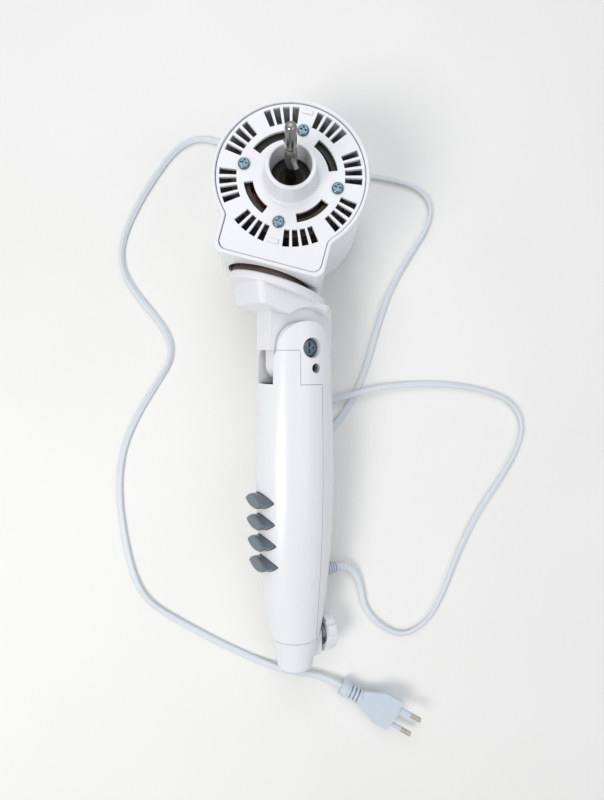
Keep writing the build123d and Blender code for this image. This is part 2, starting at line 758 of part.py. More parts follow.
def ear_profile():
    """Side outline of the ears: round at the top, widening downwards."""
    corners = (
        (EAR_SHIFT - EAR_R, 0),
        (EAR_SHIFT + EAR_R, 0),
        (EAR_FRONT_AT_FLOOR, EAR_FLOOR),
        (-EAR_FRONT_AT_FLOOR, EAR_FLOOR),
    )
    return Pos(EAR_SHIFT, 0) * Circle(EAR_R) + make_face(Polyline(*corners, close=True))


def column_floor():
    return COLUMN_SECTIONS[-1][0]


def key_outline(grow):
    """Pointed oval of two arcs, its points a little rounded."""
    half_w, half_h = KEY_HALF_WIDTH + grow, KEY_HALF_HEIGHT + grow
    radius = (half_w**2 + half_h**2) / (2 * half_h)
    lens = Pos(0, radius - half_h) * Circle(radius) & Pos(0, half_h - radius) * Circle(radius)
    return fillet(lens.vertices(), KEY_POINT_ROUND)


def key_openings():
    cut = key_outline(KEY_GAP)
    deepest = max(depth for _, depth, _ in COLUMN_SECTIONS)
    return [
        extrude(Plane.YZ.offset(0) * Pos(0, height) * cut, deepest + KEY_STAND) for height in KEY_HEIGHTS
    ]


def shell_bosses():
    bosses = [Pos(0, 0, z) * rod(SHELL_BOSS_R, SEAM_X, SHELL_BOSS_FRONT) for z in SHELL_SCREW_HEIGHTS]
    stays = [
        Pos(0, 0, z) * rod(SHELL_BOSS_R / 2, SHELL_BOSS_FRONT, column_half_depth(z) - SHELL_WALL / 2)
        for z in SHELL_SCREW_HEIGHTS
    ]
    return bosses + stays


def column_half_depth(height):
    """Half depth of the column at a height, between its sections."""
    for (top, top_depth, _), (low, low_depth, _) in zip(COLUMN_SECTIONS, COLUMN_SECTIONS[1:]):
        if low <= height <= top:
            share = (top - height) / (top - low)
            return top_depth + share * (low_depth - top_depth)
    return COLUMN_SECTIONS[-1][1]


def column_room():
    """Half size of a block that holds the whole column across."""
    return max(depth for _, depth, _ in COLUMN_SECTIONS) * 2


def column_shell():
    """Hollow column below the ears, open at the top and closed at the floor."""
    wide = column_room()
    floor = column_floor()
    room = column_solid(SHELL_WALL) & block((-wide, wide), (-wide, wide), (floor + SHELL_FLOOR, EAR_FLOOR))
    solid = column_solid(0) & block((-wide, wide), (-wide, wide), (floor, EAR_FLOOR))
    solid -= room
    return solid - post(SOCKET_R + RUNNING_GAP, floor, floor + SHELL_FLOOR)


def front_half(gap):
    """Room of the front shell: ahead of the seam, with a step round the ears."""
    wide = column_room()
    room = block((SEAM_X + gap, wide), (-wide, wide), (column_floor(), EAR_FLOOR - gap))
    return room + block((EAR_SEAM_X + gap, wide), (-wide, wide), (column_floor(), EAR_SEAM_TOP - gap))


def ears():
    """Pair of ears at the column's top, with the bores of the tilt bolt."""
    wide = column_room()
    pair = extrude(Plane.XZ.offset(-wide) * ear_profile(), 2 * wide)
    pair &= column_solid(0)
    pair -= block((-wide, wide), (-EAR_IN, EAR_IN), (EAR_FLOOR, EAR_R))
    pair -= cross_rod(TILT_BOLT_R + RUNNING_GAP, -wide, wide)
    pair -= cross_rod(TILT_WELL_R, TILT_HEAD_AT, wide)
    return pair - cross_rod(TILT_WELL_R, -wide, -TILT_HEAD_AT)


def front_shell():
    shell = (column_shell() + ears()) & front_half(SEAM_GAP)
    for boss in shell_bosses():
        shell += boss
    for cut in key_openings():
        shell -= cut
    for height in SHELL_SCREW_HEIGHTS:
        shell -= Pos(0, 0, height) * rod(SHELL_SCREW_R, SEAM_X, SHELL_BOSS_FRONT)
    return shell


def rear_shell():
    shell = (column_shell() + ears()) - front_half(0)
    wide = column_room()
    well_x, well_z = EAR_SCREW_AT
    shell -= cross_rod(EAR_SCREW_HOLE_R, EAR_IN + EAR_SCREW_DEPTH, wide, well_x, well_z)
    shell -= cross_rod(EAR_SCREW_R, EAR_IN, wide, well_x, well_z)
    for height in SHELL_SCREW_HEIGHTS:
        seat = shell_screw_seat(height)
        tube = rod(SHELL_BOSS_R, seat - SHELL_SCREW_HEAD_RISE / 2, SEAM_X)
        shell += Pos(0, 0, height) * tube
        shell -= Pos(0, 0, height) * rod(SHELL_SCREW_R + RUNNING_GAP, -wide, SEAM_X)
        shell -= Pos(0, 0, height) * rod(SHELL_SCREW_HEAD_R + FREE_GAP, -wide, seat)
    shell -= Pos(0, 0, CLAMP_HEIGHT) * rod(CLAMP_BOSS_R + FREE_GAP, -wide, SEAM_X)
    gland_hole = Pos(0, 0, GLAND_HEIGHT) * rod(GLAND_BASE_R, -wide, -GLAND_BACK_IN)
    return shell - gland_hole


def shell_screw_seat(height):
    """Where the head of a shell screw bears, sunk below the column's back."""
    return -column_half_depth(height) + SHELL_SCREW_HEAD_RISE + FREE_GAP


def shell_screws():
    screws = []
    for height in SHELL_SCREW_HEIGHTS:
        seat = shell_screw_seat(height)
        one = screw(SHELL_SCREW_R, SHELL_SCREW_HEAD_R, SHELL_SCREW_HEAD_RISE, SHELL_BOSS_FRONT - seat)
        screws.append(Pos(seat, 0, height) * Rot(0, -90, 0) * one)
    return screws


def ear_screw():
    well_x, well_z = EAR_SCREW_AT
    head_r = EAR_SCREW_HOLE_R - FREE_GAP / 2
    one = screw(EAR_SCREW_R, head_r, SHELL_SCREW_HEAD_RISE, EAR_SCREW_DEPTH)
    return Pos(well_x, EAR_IN + EAR_SCREW_DEPTH, well_z) * Rot(-90, 0, 0) * one


def tilt_bolt():
    bolt = screw(TILT_BOLT_R, TILT_HEAD_R, TILT_HEAD_THICK, 2 * TILT_HEAD_AT + TILT_HEAD_THICK)
    return Pos(0, TILT_HEAD_AT, 0) * Rot(-90, 0, 0) * bolt


def tilt_nut():
    nut = extrude(RegularPolygon(TILT_HEAD_R, 6), TILT_HEAD_THICK)
    nut -= post(TILT_BOLT_R, 0, TILT_HEAD_THICK)
    return Pos(0, -TILT_HEAD_AT, 0) * Rot(90, 0, 0) * nut


def friction_washers():
    ring = post(WASHER_R, 0, WASHER_THICK) - post(TILT_BOLT_R + RUNNING_GAP, 0, WASHER_THICK)
    start = TONGUE_HALF + WASHER_GAP
    return [Pos(0, start, 0) * Rot(-90, 0, 0) * ring, Pos(0, -start, 0) * Rot(90, 0, 0) * ring]


def switch_block():
    """Push switch behind the keys, with a slot for each key's stem."""
    body = block((SWITCH_BACK, SWITCH_FRONT), (-SWITCH_HALF, SWITCH_HALF), (SWITCH_FLOOR, SWITCH_TOP))
    body = fillet(body.edges().filter_by(Axis.X), SWITCH_WALL)
    wide = KEY_STEM[0] / 2 + FREE_GAP
    tall = KEY_STEM[1] / 2 + FREE_GAP
    deep = SWITCH_FRONT - KEY_STEM_BACK - KEY_TRAVEL - SWITCH_WALL
    for height in KEY_HEIGHTS:
        body -= block((deep, SWITCH_FRONT), (-wide, wide), (height - tall, height + tall))
    return body


def switch_plate():
    """Steel plate that carries the switch between two bosses of the front shell."""
    x_span = (SWITCH_BACK - SWITCH_WALL, SWITCH_BACK)
    plate = block(x_span, (-SWITCH_HALF, SWITCH_HALF), (SWITCH_FLOOR, SWITCH_TOP))
    return fillet(plate.edges().filter_by(Axis.X), SWITCH_WALL)


def key(height):
    """Push key: a domed oval cap with a skirt and a flat stem."""
    face = column_half_depth(height) + KEY_STAND
    back = Plane.YZ.offset(face - KEY_STAND - KEY_SKIRT)
    cap = extrude(back * key_outline(0), KEY_STAND + KEY_SKIRT)
    cap = fillet(cap.edges().group_by(Axis.X)[-1], KEY_ROUND)
    half_w, half_h = KEY_STEM[0] / 2, KEY_STEM[1] / 2
    stem_back = SWITCH_FRONT - KEY_STEM_BACK
    cap += block((stem_back, face - KEY_STAND - KEY_SKIRT), (-half_w, half_w), (-half_h, half_h))
    return Pos(0, 0, height) * cap


def pole_socket():
    """Sleeve that takes the pole, with a threaded boss for the clamp."""
    floor = column_floor()
    _, depth, width = COLUMN_SECTIONS[-1]
    seam = Plane.XY.offset(floor) * Ellipse(depth - SOCKET_STEP, width - SOCKET_STEP)
    nose = loft([Plane.XY.offset(SOCKET_FLOOR) * Circle(SOCKET_MOUTH_R), seam])
    socket = fillet(nose.edges().group_by(Axis.Z)[0], SOCKET_ROUND)
    socket += post(SOCKET_R, floor, SOCKET_TOP)
    boss = Pos(0, 0, CLAMP_HEIGHT) * rod(CLAMP_BOSS_R, -CLAMP_BOSS_REACH, 0)
    boss += block((-CLAMP_BOSS_REACH, 0), (-CLAMP_BOSS_R, CLAMP_BOSS_R), (CLAMP_BOSS_FLOOR, CLAMP_HEIGHT))
    socket += boss
    socket -= post(SOCKET_BORE_R, SOCKET_FLOOR, SOCKET_TOP)
    return socket - Pos(0, 0, CLAMP_HEIGHT) * rod(CLAMP_STUD_R + RUNNING_GAP, -CLAMP_BOSS_REACH, 0)


def clamp_knob():
    """Cup-shaped knob with finger grips, on its stud."""
    knob = rod(CLAMP_KNOB_R, -CLAMP_KNOB_OUT, -CLAMP_KNOB_IN)
    knob = fillet(knob.edges().group_by(Axis.X)[0], CLAMP_KNOB_WALL)
    grip = Pos(0, CLAMP_KNOB_R + CLAMP_GRIP_R / 3, 0) * rod(CLAMP_GRIP_R, -CLAMP_KNOB_OUT, -CLAMP_KNOB_IN)
    for i in range(CLAMP_GRIPS):
        knob -= Rot(360 / CLAMP_GRIPS * i, 0, 0) * grip
    hollow_r = CLAMP_KNOB_R - CLAMP_GRIP_R - CLAMP_KNOB_WALL
    knob -= rod(hollow_r, CLAMP_KNOB_WALL - CLAMP_KNOB_OUT, -CLAMP_KNOB_IN)
    knob += rod(CLAMP_STUD_R + CLAMP_KNOB_WALL, -CLAMP_KNOB_OUT + CLAMP_KNOB_WALL, -CLAMP_KNOB_IN)
    knob += rod(CLAMP_STUD_R, -CLAMP_KNOB_OUT + CLAMP_KNOB_WALL, -SOCKET_BORE_R)
    return Pos(0, 0, CLAMP_HEIGHT) * knob


# Mains lead


def ribbed_taper(base_r, tip_r, length, ribs, groove):
    """Tapered sleeve along z with ring grooves."""
    sleeve = Pos(0, 0, length / 2) * Cone(base_r, tip_r, length)
    pitch = length / (ribs + 1)
    for i in range(1, ribs + 1):
        radius = base_r + (tip_r - base_r) * i / (ribs + 1)
        ring = post(base_r + groove, i * pitch - pitch / 5, i * pitch + pitch / 5)
        sleeve -= ring - post(radius - groove, i * pitch - pitch / 5, i * pitch + pitch / 5)
    return sleeve


def gland_tip():
    return column_half_depth(GLAND_HEIGHT) + GLAND_OUT


def cord_gland():
    """Strain relief in the column's back."""
    back = column_half_depth(GLAND_HEIGHT)
    outer = ribbed_taper(GLAND_BASE_R, GLAND_TIP_R, GLAND_OUT, GLAND_RIBS, GLAND_GROOVE)
    gland = Pos(-back, 0, 0) * Rot(0, -90, 0) * outer
    gland += rod(GLAND_BASE_R, -back, -GLAND_BACK_IN)
    gland += rod(GLAND_FLANGE_R, -GLAND_BACK_IN, -GLAND_BACK_IN + GLAND_FLANGE_THICK)
    return Pos(0, 0, GLAND_HEIGHT) * gland


def hexagon(width, thick):
    """Flat six-sided section of the plug."""
    half_w, half_t = width / 2, thick / 2
    flat = half_w - PLUG_BEVEL
    corners = (
        (half_w, 0),
        (flat, half_t),
        (-flat, half_t),
        (-half_w, 0),
        (-flat, -half_t),
        (flat, -half_t),
    )
    return make_face(Polyline(*corners, close=True))


def plug_rise():
    """Slope of the plug when it lies on its relief's collar and on a lower corner."""
    roll = radians(PLUG_ROLL)
    flat = PLUG_WIDTH / 2 - PLUG_BEVEL
    low_corner = flat * sin(roll) + PLUG_THICK / 2 * cos(roll)
    side_corner = PLUG_WIDTH / 2 * sin(roll)
    deepest = max(low_corner, side_corner)
    return degrees(atan2(deepest - RELIEF_COLLAR_R, RELIEF_LENGTH + PLUG_TAPER))


def plug_place():
    """Frame of the plug: x from the cord to the pins, y across, z through it."""
    height = RELIEF_COLLAR_R * cos(radians(plug_rise()))
    spot = Location((*PLUG_AT, height), (0, 0, PLUG_HEADING))
    return spot * Location((0, 0, 0), (0, -plug_rise(), 0)) * Location((0, 0, 0), (PLUG_ROLL, 0, 0))


def plug_body():
    """Moulded plug: ribbed relief, tapered neck and six-sided grip."""
    ribbed = RELIEF_LENGTH - RELIEF_COLLAR
    relief = ribbed_taper(RELIEF_TIP_R, RELIEF_BASE_R, ribbed, RELIEF_RIBS, RELIEF_GROOVE)
    relief = Pos(0, 0, RELIEF_COLLAR) * relief + post(RELIEF_COLLAR_R, 0, RELIEF_COLLAR)
    body = Rot(0, 90, 0) * relief
    neck = Plane.YZ.offset(RELIEF_LENGTH) * hexagon(PLUG_NECK_WIDTH, PLUG_NECK_THICK)
    full = Plane.YZ.offset(RELIEF_LENGTH + PLUG_TAPER) * hexagon(PLUG_WIDTH, PLUG_THICK)
    body += loft([neck, full], ruled=True)
    body += extrude(full, PLUG_LENGTH - PLUG_TAPER)
    for hole in pin_rods(PIN_CORE_R, -PIN_SEAT, 0):
        body -= hole
    return body


def pin_rods(radius, start, end):
    """Both pins' cylinders between two distances from the plug's face."""
    face = RELIEF_LENGTH + PLUG_LENGTH
    half = PIN_SPACING / 2
    return [Pos(face, side * half, 0) * rod(radius, start, end) for side in (-1, 1)]


def plug_pins():
    """Metal pins, slimmer where the sleeves are."""
    cores = pin_rods(PIN_CORE_R, -PIN_SEAT, PIN_SLEEVE)
    ends = pin_rods(PIN_R, PIN_SLEEVE, PIN_LENGTH)
    pins = []
    for core, end in zip(cores, ends):
        tip = end.edges().filter_by(GeomType.CIRCLE).sort_by(Axis.X)[-1]
        pins.append(core + fillet(tip, PIN_TIP_ROUND))
    return pins


def pin_sleeves():
    outers = pin_rods(PIN_R, 0, PIN_SLEEVE)
    cores = pin_rods(PIN_CORE_R, 0, PIN_SLEEVE)
    return [outer - core for outer, core in zip(outers, cores)]


def cord_points(column_place):
    """The whole route: out of the gland, over the table, into the plug."""
    mouth = column_place * Location((-gland_tip(), 0, GLAND_HEIGHT))
    beyond = column_place * Location((-gland_tip() - CORD_EXIT_RUN, 0, GLAND_HEIGHT))
    plug = plug_place()
    before = plug * Location((-CORD_PLUG_RUN, 0, 0))
    ends = [before.position, plug.position]
    return [mouth.position, beyond.position, *[Vector(*spot) for spot in CORD_ROUTE], *ends]


def cord(column_place):
    """Round tube along the route, each bend as wide as its two runs allow."""
    points = cord_points(column_place)
    radii = []
    for before, here, after in zip(points, points[1:], points[2:]):
        shorter = min((here - before).length, (after - here).length)
        turn = (here - before).get_angle(after - here)
        radii.append(CORD_RUN_SHARE * shorter / tan(radians(turn / 2)))
    path = FilletPolyline(*points, radius=radii)
    section = Plane(origin=path @ 0, z_dir=path % 0) * Circle(CORD_D / 2)
    tube = sweep(section, path=path)
    print("lead length", round(path.length), "volume share", tube.volume / (section.area * path.length))
    return tube


def column_parts():
    parts = {
        "front_shell": front_shell(),
        "rear_shell": rear_shell(),
        "shell_screws": shell_screws(),
        "ear_screw": ear_screw(),
        "tilt_bolt": tilt_bolt(),
        "tilt_nut": tilt_nut(),
        "friction_washers": friction_washers(),
        "switch_block": switch_block(),
        "switch_plate": switch_plate(),
        "pole_socket": pole_socket(),
        "clamp_knob": clamp_knob(),
        "cord_gland": cord_gland(),
    }
    for number, height in enumerate(KEY_HEIGHTS, 1):
        parts[f"key_{number}"] = key(height)
    return parts


def neck_parts():
    return {
        "neck_housing": neck_housing(),
        "pivot_plate": pivot_plate(),
        "swing_pivot": swing_pivot(),
        "link_pin": link_pin(),
        "swing_link": swing_link(),
    }


def head_parts():
    return {
        "rear_cover": rear_cover(),
        "front_plate": front_plate(),
        "plate_screws": plate_screws(),
        "front_bell": front_bell(),
        "rear_bell": bell(REAR_BELL),
        "motor_studs": motor_studs(),
        "stator_core": stator_core(),
        "front_winding": winding(STATOR_FRONT),
        "rear_winding": winding(STATOR_BACK - WINDING_RISE),
        "front_bearing": bearing(FRONT_BELL),
        "rear_bearing": bearing(REAR_BELL),
        "gearbox_case": gearbox_case(),
        "swing_bracket": swing_bracket(),
        "capacitor": capacitor(),
        "shaft": shaft(),
        "drive_pin": drive_pin(),
        "rotor_core": rotor_core(),
        "worm": worm(),
        "worm_wheel": worm_wheel(),
        "clutch_knob": clutch_knob(),
    }


def placed(parts, place):
    """The same pieces at their place, each as a list of solids."""
    moved = {}
    for name, piece in parts.items():
        pieces = piece if isinstance(piece, list) else [piece]
        moved[name] = [place * one for one in pieces]
    return moved


def plug_parts():
    return {
        "plug_body": plug_body(),
        "plug_pins": plug_pins(),
        "pin_sleeves": pin_sleeves(),
    }


def assembly():
    """All pieces on the table, the unit's own box centred over the origin."""
    column, neck, head = frames()
    turn = table_turn()
    parts = placed(column_parts(), turn * column)
    parts.update(placed(neck_parts(), turn * neck))
    parts.update(placed(head_parts(), turn * head))
    box = Compound([one for pieces in parts.values() for one in pieces]).bounding_box()
    middle = box.center()
    drop = Location((-middle.X, -middle.Y, -box.min.Z))
    column_place = drop * turn
    parts = placed(parts, drop)
    parts.update(placed(plug_parts(), plug_place()))
    parts["cord"] = [cord(column_place)]
    return parts, column_place


def write(parts):
    os.makedirs("parts", exist_ok=True)
    for name, pieces in parts.items():
        solids = [solid for piece in pieces for solid in piece.solids()]
        export_step(solids[0] if len(solids) == 1 else Compound(solids), f"parts/{name}.step")


PARTS, COLUMN_PLACE = assembly()
write(PARTS)
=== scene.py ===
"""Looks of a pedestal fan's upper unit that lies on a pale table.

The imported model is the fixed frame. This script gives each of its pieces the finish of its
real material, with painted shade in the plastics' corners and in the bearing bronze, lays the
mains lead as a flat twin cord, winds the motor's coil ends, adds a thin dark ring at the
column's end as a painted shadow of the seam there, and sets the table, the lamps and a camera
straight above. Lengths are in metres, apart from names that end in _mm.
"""

from __future__ import annotations

import json
import logging
import math
import random
from dataclasses import dataclass
from enum import Enum

import bmesh
import bpy
from mathutils import Matrix, Vector

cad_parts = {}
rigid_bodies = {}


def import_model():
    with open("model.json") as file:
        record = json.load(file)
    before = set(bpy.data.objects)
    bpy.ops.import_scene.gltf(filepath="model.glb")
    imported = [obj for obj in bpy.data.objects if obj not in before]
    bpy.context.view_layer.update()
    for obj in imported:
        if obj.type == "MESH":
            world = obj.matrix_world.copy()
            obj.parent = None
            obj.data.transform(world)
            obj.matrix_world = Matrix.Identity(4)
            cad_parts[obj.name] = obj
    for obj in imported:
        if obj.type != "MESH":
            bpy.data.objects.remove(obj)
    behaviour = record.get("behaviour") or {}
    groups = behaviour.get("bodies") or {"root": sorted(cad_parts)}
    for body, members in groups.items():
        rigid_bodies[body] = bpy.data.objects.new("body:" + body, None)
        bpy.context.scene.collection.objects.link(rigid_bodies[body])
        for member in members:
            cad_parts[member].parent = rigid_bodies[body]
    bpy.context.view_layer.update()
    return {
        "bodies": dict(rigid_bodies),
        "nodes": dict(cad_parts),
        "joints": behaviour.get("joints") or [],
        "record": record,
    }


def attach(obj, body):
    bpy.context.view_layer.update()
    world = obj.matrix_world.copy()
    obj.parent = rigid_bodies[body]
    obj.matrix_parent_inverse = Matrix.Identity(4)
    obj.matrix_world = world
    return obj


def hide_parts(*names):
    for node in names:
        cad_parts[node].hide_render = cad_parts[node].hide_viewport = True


LOG = logging.getLogger("fan_unit")
MM = 0.001
# Order of a spline that bends smoothly and stays close to its points
CLOSE_ORDER = 3
# Rays that feel out each spot of a plastic piece for a corner, which gets painted shade
CORNER_SAMPLES = 6
Colour = tuple[float, float, float, float]
Point = tuple[float, float, float]


def linear(hex_colour: str) -> Colour:
    """Turn an sRGB hex colour into linear light.

    Args:
        hex_colour: A colour such as "#E9EBEE".

    Returns:
        Red, green, blue and an alpha of 1.
    """
    channels = [int(hex_colour[start : start + 2], 16) / 255 for start in (1, 3, 5)]
    red, green, blue = [c / 12.92 if c <= 0.04045 else ((c + 0.055) / 1.055) ** 2.4 for c in channels]
    return red, green, blue, 1.0


def per_metre(size_mm: float) -> float:
    """Pattern scale whose features are about this many millimetres apart."""
    return 1 / (size_mm * MM)


def add_node(
    tree: bpy.types.NodeTree, kind: str, inputs: dict | None = None, **settings: object
) -> bpy.types.Node:
    """Add one node to a material.

    Args:
        tree: The material's node tree.
        kind: Blender's name for the kind of node.
        inputs: Socket names or numbers, each with a value or with the output that feeds it.
        **settings: Attributes of the node itself.

    Returns:
        The new node.
    """
    node = tree.nodes.new(kind)
    for name, value in settings.items():
        setattr(node, name, value)
    for socket, value in (inputs or {}).items():
        if isinstance(value, bpy.types.NodeSocket):
            tree.links.new(value, node.inputs[socket])
        else:
            node.inputs[socket].default_value = value
    return node


class Slot(Enum):
    """The record's material slots."""

    WHITE_ABS = "white_abs"
    GREY_KEY = "grey_key"
    ZINC_SCREW = "zinc_screw"
    GROUND_STEEL = "ground_steel"
    LAMINATE = "laminate"
    VARNISHED_STEEL = "varnished_steel"
    COPPER = "copper"
    BRONZE = "bronze"
    ZINC_CASTING = "zinc_casting"
    BLACK_PLASTIC = "black_plastic"
    NATURAL_NYLON = "natural_nylon"
    FIBRE = "fibre"
    PALE_PVC = "pale_pvc"
    NICKEL = "nickel"


@dataclass(frozen=True)
class Finish:
    """A surface finish: what the material is and how its surface was made."""

    name: str
    colour: str

    def make(self) -> bpy.types.Material:
        """Build the node material of this finish.

        Returns:
            A new material named for the finish.
        """
        material = bpy.data.materials.new(self.name)
        material.use_nodes = True
        tree = material.node_tree
        shader = tree.nodes["Principled BSDF"]
        shader.inputs["Base Color"].default_value = linear(self.colour)
        place = add_node(tree, "ShaderNodeTexCoord").outputs["Object"]
        self.dress(tree, shader, place)
        return material

    def dress(self, tree: bpy.types.NodeTree, shader: bpy.types.Node, place: bpy.types.NodeSocket) -> None:
        """Add this finish's own patterns; a plain finish has none."""


@dataclass(frozen=True)
class MouldedPlastic(Finish):
    """Injection moulded plastic.

    The eye sees a glossy skin with faint orange peel and patches dulled by hands.
    Occlusion darkens the corners towards a darker colour: painted shade, which also
    stands for a little dust there. A spot with more open space round it than
    clear_corner gets none of it, one with less than tight_corner gets all of it.
    """

    # Corner colour: painted shade, which also stands for dust that settles there
    corner_shade_and_dust: str = "#A9A59C"
    roughness: float = 0.24
    smudge_mm: float = 32.0
    smudge: float = 0.10
    clean_patch: float = 0.3
    dull_patch: float = 0.7
    peel_mm: float = 1.6
    peel_depth_mm: float = 0.012
    corner_mm: float = 5.0
    tight_corner: float = 0.15
    clear_corner: float = 0.7
    # Share of the corner colour in the tightest corners: painted shade with dust
    shade_and_dust_share: float = 0.35
    ior: float = 1.53

    def dress(self, tree: bpy.types.NodeTree, shader: bpy.types.Node, place: bpy.types.NodeSocket) -> None:
        """Add smudges to the gloss, orange peel to the skin, and painted shade with dust to the corners."""
        shader.inputs["IOR"].default_value = self.ior
        hands = add_node(
            tree,
            "ShaderNodeTexNoise",
            {"Vector": place, "Scale": per_metre(self.smudge_mm), "Detail": 4.0, "Roughness": 0.6},
        )
        gloss = add_node(
            tree,
            "ShaderNodeMapRange",
            {
                "Value": hands.outputs["Fac"],
                "From Min": self.clean_patch,
                "From Max": self.dull_patch,
                "To Min": self.roughness - self.smudge / 2,
                "To Max": self.roughness + self.smudge / 2,
            },
        )
        tree.links.new(gloss.outputs["Result"], shader.inputs["Roughness"])
        peel = add_node(
            tree,
            "ShaderNodeTexNoise",
            {"Vector": place, "Scale": per_metre(self.peel_mm), "Detail": 2.0},
        )
        bump = add_node(
            tree,
            "ShaderNodeBump",
            {"Height": peel.outputs["Fac"], "Distance": self.peel_depth_mm * MM},
        )
        tree.links.new(bump.outputs["Normal"], shader.inputs["Normal"])
        # Painted shade: occlusion darkens corners and recesses towards the corner colour, for the shade that
        # falls there and for settled dust
        corners = add_node(
            tree, "ShaderNodeAmbientOcclusion", {"Distance": self.corner_mm * MM}, samples=CORNER_SAMPLES
        )
        painted_corner_shade = add_node(
            tree,
            "ShaderNodeMapRange",
            {
                "Value": corners.outputs["AO"],
                "From Min": self.tight_corner,
                "From Max": self.clear_corner,
                "To Min": self.shade_and_dust_share,
                "To Max": 0.0,
            },
        )
        tint = add_node(
            tree,
            "ShaderNodeMix",
            {"Factor": painted_corner_shade.outputs["Result"], "A": linear(self.colour), "B": linear(self.corner_shade_and_dust)},
            data_type="RGBA",
        )
        tree.links.new(tint.outputs["Result"], shader.inputs["Base Color"])


@dataclass(frozen=True)
class PlatedMetal(Finish):
    """Electroplated metal: bright, with a tinted bloom and fine handling scratches.

    The scratches are drawn coarser than they are, so that they show.
    """

    bloom: str = "#9DB7C4"
    roughness: float = 0.22
    bloom_mm: float = 3.0
    scratch_mm: float = 0.5
    scratch: float = 0.12

    def dress(self, tree: bpy.types.NodeTree, shader: bpy.types.Node, place: bpy.types.NodeSocket) -> None:
        """Add the plating's bloom to the colour and scratches to the gloss."""
        shader.inputs["Metallic"].default_value = 1.0
        patch = add_node(
            tree, "ShaderNodeTexNoise", {"Vector": place, "Scale": per_metre(self.bloom_mm), "Detail": 3.0}
        )
        tint = add_node(
            tree,
            "ShaderNodeMix",
            {"Factor": patch.outputs["Fac"], "A": linear(self.colour), "B": linear(self.bloom)},
            data_type="RGBA",
        )
        tree.links.new(tint.outputs["Result"], shader.inputs["Base Color"])
        fine = add_node(
            tree, "ShaderNodeTexNoise", {"Vector": place, "Scale": per_metre(self.scratch_mm), "Detail": 5.0}
        )
        gloss = add_node(
            tree,
            "ShaderNodeMapRange",
            {
                "Value": fine.outputs["Fac"],
                "To Min": self.roughness - self.scratch / 2,
                "To Max": self.roughness + self.scratch / 2,
            },
        )
        tree.links.new(gloss.outputs["Result"], shader.inputs["Roughness"])


@dataclass(frozen=True)
class LayeredMetal(Finish):
    """Metal with lines across an axis: turned steel, or a stack of stampings.

    The lines stand about as far apart as the tool marks or the sheets, drawn
    a little coarser than they are so that they show.
    """

    axis: tuple[float, float, float] = (0.0, 0.0, 1.0)
    line: str = "#8E8A84"
    line_mm: float = 0.6
    roughness: float = 0.2
    line_depth_mm: float = 0.01
    metallic: float = 1.0
    varnish: float = 0.0

    def dress(self, tree: bpy.types.NodeTree, shader: bpy.types.Node, place: bpy.types.NodeSocket) -> None:
        """Add the lines to the colour and to the relief, and the varnish on top."""
        shader.inputs["Metallic"].default_value = self.metallic
        shader.inputs["Roughness"].default_value = self.roughness
        shader.inputs["Coat Weight"].default_value = self.varnish
        along = add_node(tree, "ShaderNodeVectorMath", {0: place, 1: self.axis}, operation="DOT_PRODUCT")
        lines = add_node(
            tree,
            "ShaderNodeTexNoise",
            {"W": along.outputs["Value"], "Scale": per_metre(self.line_mm), "Detail": 2.0},
            noise_dimensions="1D",
        )
        tint = add_node(
            tree,
            "ShaderNodeMix",
            {"Factor": lines.outputs["Fac"], "A": linear(self.colour), "B": linear(self.line)},
            data_type="RGBA",
        )
        tree.links.new(tint.outputs["Result"], shader.inputs["Base Color"])
        bump = add_node(
            tree, "ShaderNodeBump", {"Height": lines.outputs["Fac"], "Distance": self.line_depth_mm * MM}
        )
        tree.links.new(bump.outputs["Normal"], shader.inputs["Normal"])


@dataclass(frozen=True)
class GrainyMetal(Finish):
    """Cast or sintered metal: dull, with a grain of pores and mould texture.

    The grain is drawn a little coarser than it is, so that it shows.
    """

    pore: str = "#3E3C3A"
    grain_mm: float = 0.8
    grain_depth_mm: float = 0.05
    roughness: float = 0.5
    metallic: float = 0.9

    def dress(self, tree: bpy.types.NodeTree, shader: bpy.types.Node, place: bpy.types.NodeSocket) -> None:
        """Add the grain to the colour and to the relief."""
        shader.inputs["Metallic"].default_value = self.metallic
        shader.inputs["Roughness"].default_value = self.roughness
        grain = add_node(
            tree, "ShaderNodeTexVoronoi", {"Vector": place, "Scale": per_metre(self.grain_mm)}, feature="F1"
        )
        tint = add_node(
            tree,
            "ShaderNodeMix",
            {"Factor": grain.outputs["Distance"], "A": linear(self.colour), "B": linear(self.pore)},
            data_type="RGBA",
        )
        tree.links.new(tint.outputs["Result"], shader.inputs["Base Color"])
        bump = add_node(
            tree,
            "ShaderNodeBump",
            {"Height": grain.outputs["Distance"], "Distance": self.grain_depth_mm * MM},
            invert=True,
        )
        tree.links.new(bump.outputs["Normal"], shader.inputs["Normal"])


@dataclass(frozen=True)
class EnamelledWire(Finish):
    """Copper wire under baked enamel: warm metal below a clear amber coat, darker in patches."""

    burnt: str = "#5A2A17"
    patch_mm: float = 6.0
    roughness: float = 0.3
    enamel: float = 0.5

    def dress(self, tree: bpy.types.NodeTree, shader: bpy.types.Node, place: bpy.types.NodeSocket) -> None:
        """Add the enamel's darker patches and its clear coat."""
        shader.inputs["Metallic"].default_value = 1.0
        shader.inputs["Roughness"].default_value = self.roughness
        shader.inputs["Coat Weight"].default_value = self.enamel
        patch = add_node(
            tree, "ShaderNodeTexNoise", {"Vector": place, "Scale": per_metre(self.patch_mm), "Detail": 4.0}
        )
        tint = add_node(
            tree,
            "ShaderNodeMix",
            {"Factor": patch.outputs["Fac"], "A": linear(self.colour), "B": linear(self.burnt)},
            data_type="RGBA",
        )
        tree.links.new(tint.outputs["Result"], shader.inputs["Base Color"])


